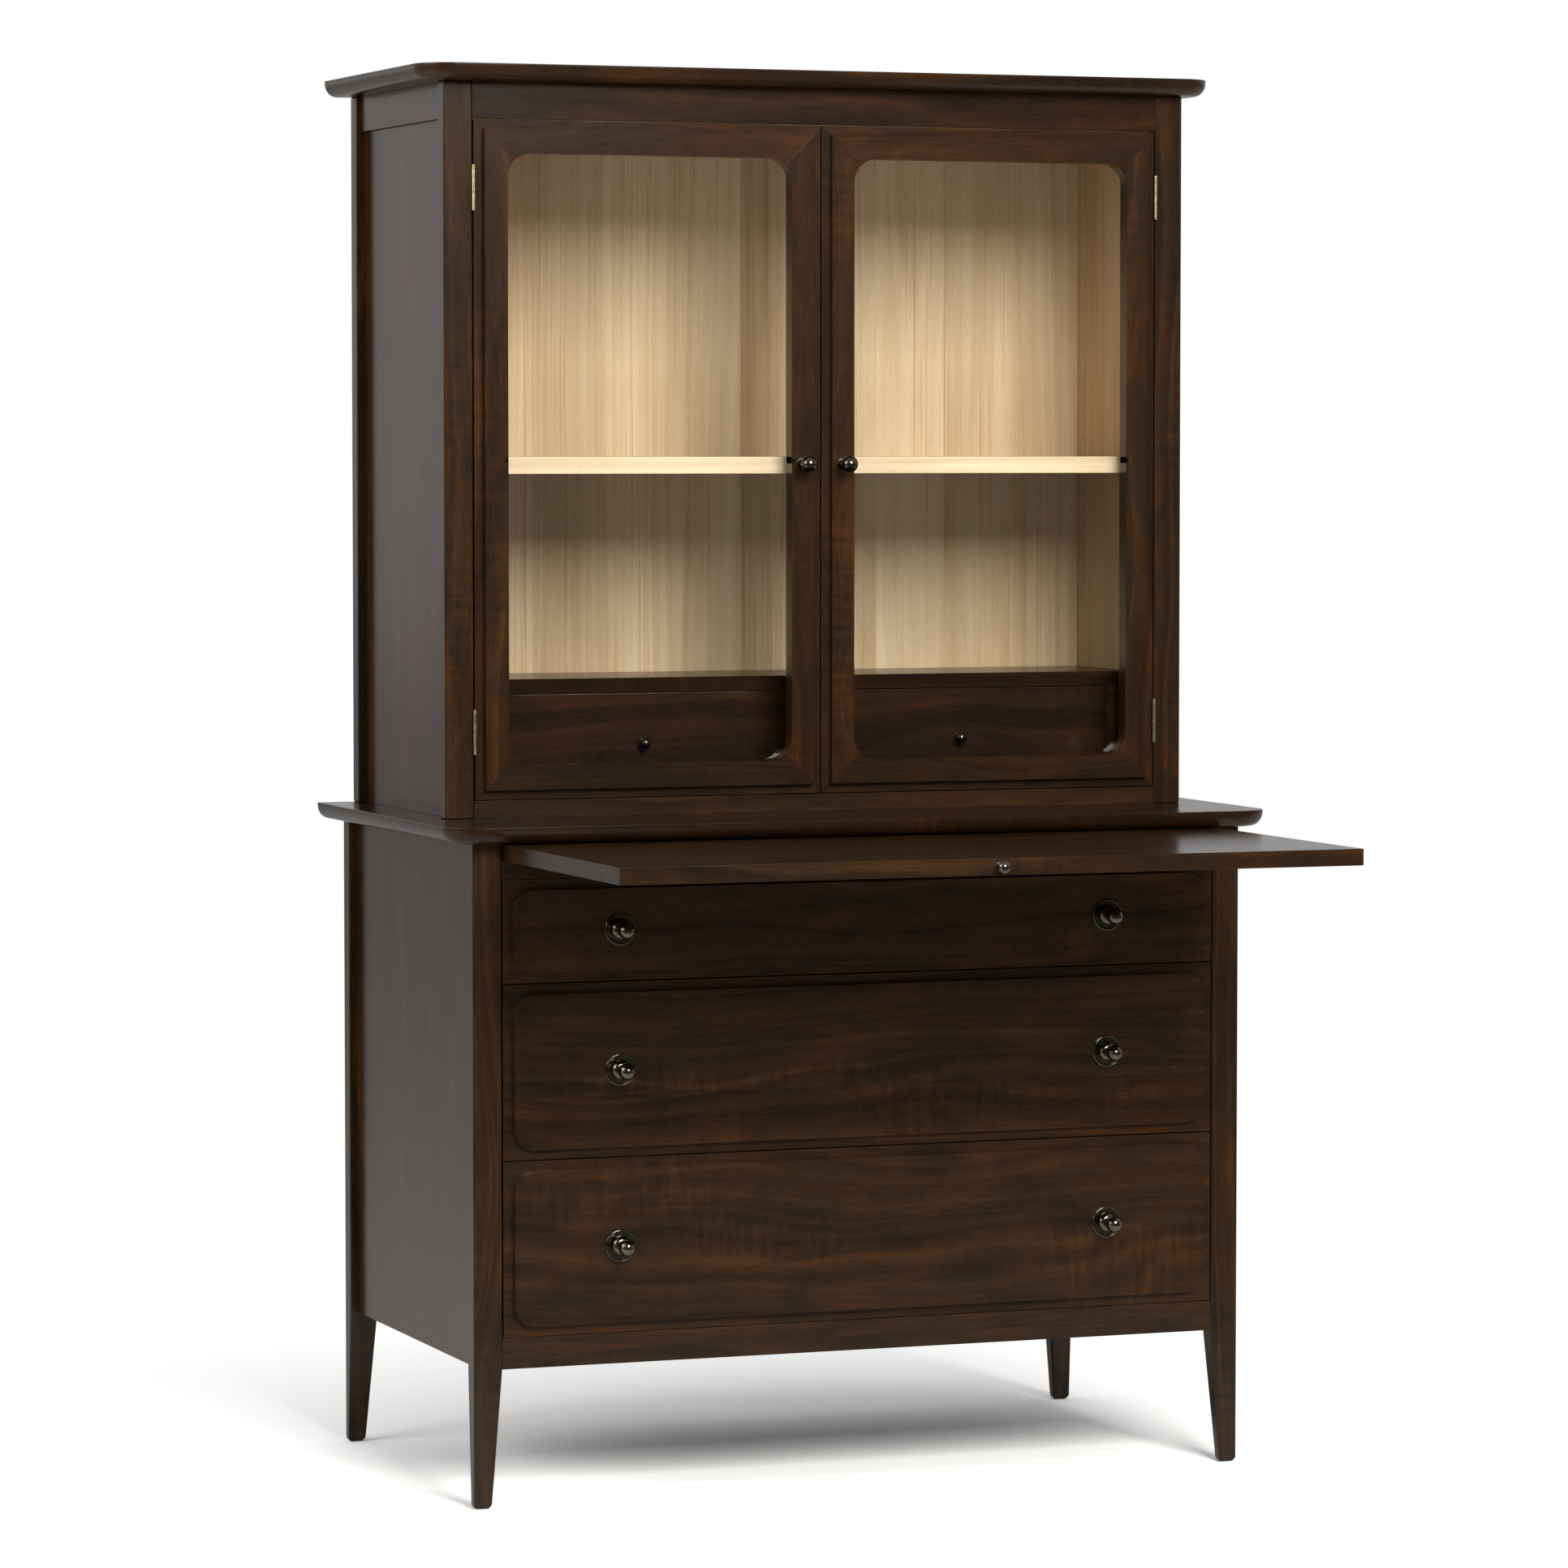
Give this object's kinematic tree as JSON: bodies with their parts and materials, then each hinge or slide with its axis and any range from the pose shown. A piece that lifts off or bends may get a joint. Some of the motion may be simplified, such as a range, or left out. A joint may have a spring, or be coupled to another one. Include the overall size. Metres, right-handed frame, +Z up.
{
  "type": "secretary desk",
  "caption": "Tall wooden secretary desk: drawer base on tapered legs with a pull-out writing slide, and a glazed hutch with a shelf and small inner drawers.",
  "frame": {"origin": "on the floor, under the middle of the whole desk's box with the writing slide pulled out", "axes": "+Z up, the front faces -Y, +X to the right as seen from the front"},
  "size_m": [1.129, 1.05, 1.829],
  "materials": {
    "walnut": "dark stained walnut under satin lacquer",
    "maple": "clear lacquered maple",
    "dark_nickel": "polished dark nickel plate",
    "brass": "polished brass",
    "glass": "clear float glass"
  },
  "bodies": {
    "desk": {"leg_front_left": "walnut", "leg_front_right": "walnut", "leg_rear_left": "walnut", "leg_rear_right": "walnut", "base_side_left": "walnut", "base_side_right": "walnut", "base_back": "walnut", "base_top": "walnut", "base_bottom_panel": "walnut", "base_bottom_rail": "walnut", "slide_rail": "walnut", "runner_frame_left": "maple", "runner_frame_right": "maple", "hutch_post_front_left": "walnut", "hutch_post_front_right": "walnut", "hutch_post_rear_left": "walnut", "hutch_post_rear_right": "walnut", "hutch_side_left": "walnut", "hutch_side_right": "walnut", "hutch_back": "maple", "hutch_floor": "walnut", "hutch_top_rail": "walnut", "hutch_top": "walnut", "shelf": "maple", "drawer_deck": "walnut", "drawer_divider": "walnut", "drawer_spacer_left": "walnut", "drawer_spacer_right": "walnut", "hinge_upper_left_post_leaf": "brass", "hinge_lower_left_post_leaf": "brass", "hinge_upper_right_post_leaf": "brass", "hinge_lower_right_post_leaf": "brass"},
    "writing_slide": {"writing_slide": "walnut", "writing_slide_knob": "dark_nickel"},
    "top_drawer": {"top_drawer_front": "walnut", "top_drawer_box": "maple", "top_drawer_knob_left": "dark_nickel", "top_drawer_knob_right": "dark_nickel"},
    "middle_drawer": {"middle_drawer_front": "walnut", "middle_drawer_box": "maple", "middle_drawer_knob_left": "dark_nickel", "middle_drawer_knob_right": "dark_nickel"},
    "bottom_drawer": {"bottom_drawer_front": "walnut", "bottom_drawer_box": "maple", "bottom_drawer_knob_left": "dark_nickel", "bottom_drawer_knob_right": "dark_nickel"},
    "small_drawer_left": {"small_drawer_left": "walnut", "small_drawer_knob_left": "dark_nickel"},
    "small_drawer_right": {"small_drawer_right": "walnut", "small_drawer_knob_right": "dark_nickel"},
    "door_left": {"door_frame_left": "walnut", "door_glass_left": "glass", "door_knob_left": "dark_nickel", "hinge_upper_left_door_leaf": "brass", "hinge_lower_left_door_leaf": "brass"},
    "door_right": {"door_frame_right": "walnut", "door_glass_right": "glass", "door_knob_right": "dark_nickel", "hinge_upper_right_door_leaf": "brass", "hinge_lower_right_door_leaf": "brass"}
  },
  "joints": [
    {"name": "writing_slide_travel", "type": "slide", "parent": "desk", "child": "writing_slide", "axis": [0, -1, 0], "range_m": [-0.455, 0]},
    {"name": "top_drawer_travel", "type": "slide", "parent": "desk", "child": "top_drawer", "axis": [0, -1, 0], "range_m": [0, 0.4]},
    {"name": "middle_drawer_travel", "type": "slide", "parent": "desk", "child": "middle_drawer", "axis": [0, -1, 0], "range_m": [0, 0.4]},
    {"name": "bottom_drawer_travel", "type": "slide", "parent": "desk", "child": "bottom_drawer", "axis": [0, -1, 0], "range_m": [0, 0.4]},
    {"name": "small_drawer_left_travel", "type": "slide", "parent": "desk", "child": "small_drawer_left", "axis": [0, -1, 0], "range_m": [0, 0.055]},
    {"name": "small_drawer_right_travel", "type": "slide", "parent": "desk", "child": "small_drawer_right", "axis": [0, -1, 0], "range_m": [0, 0.055]},
    {"name": "door_left_hinge", "type": "hinge", "parent": "desk", "child": "door_left", "pos_m": [-0.4751, 0.1061, 1.3245], "axis": [0, 0, -1], "range_deg": [0, 110]},
    {"name": "door_right_hinge", "type": "hinge", "parent": "desk", "child": "door_right", "pos_m": [0.4751, 0.1061, 1.3245], "axis": [0, 0, 1], "range_deg": [0, 110]}
  ]
}
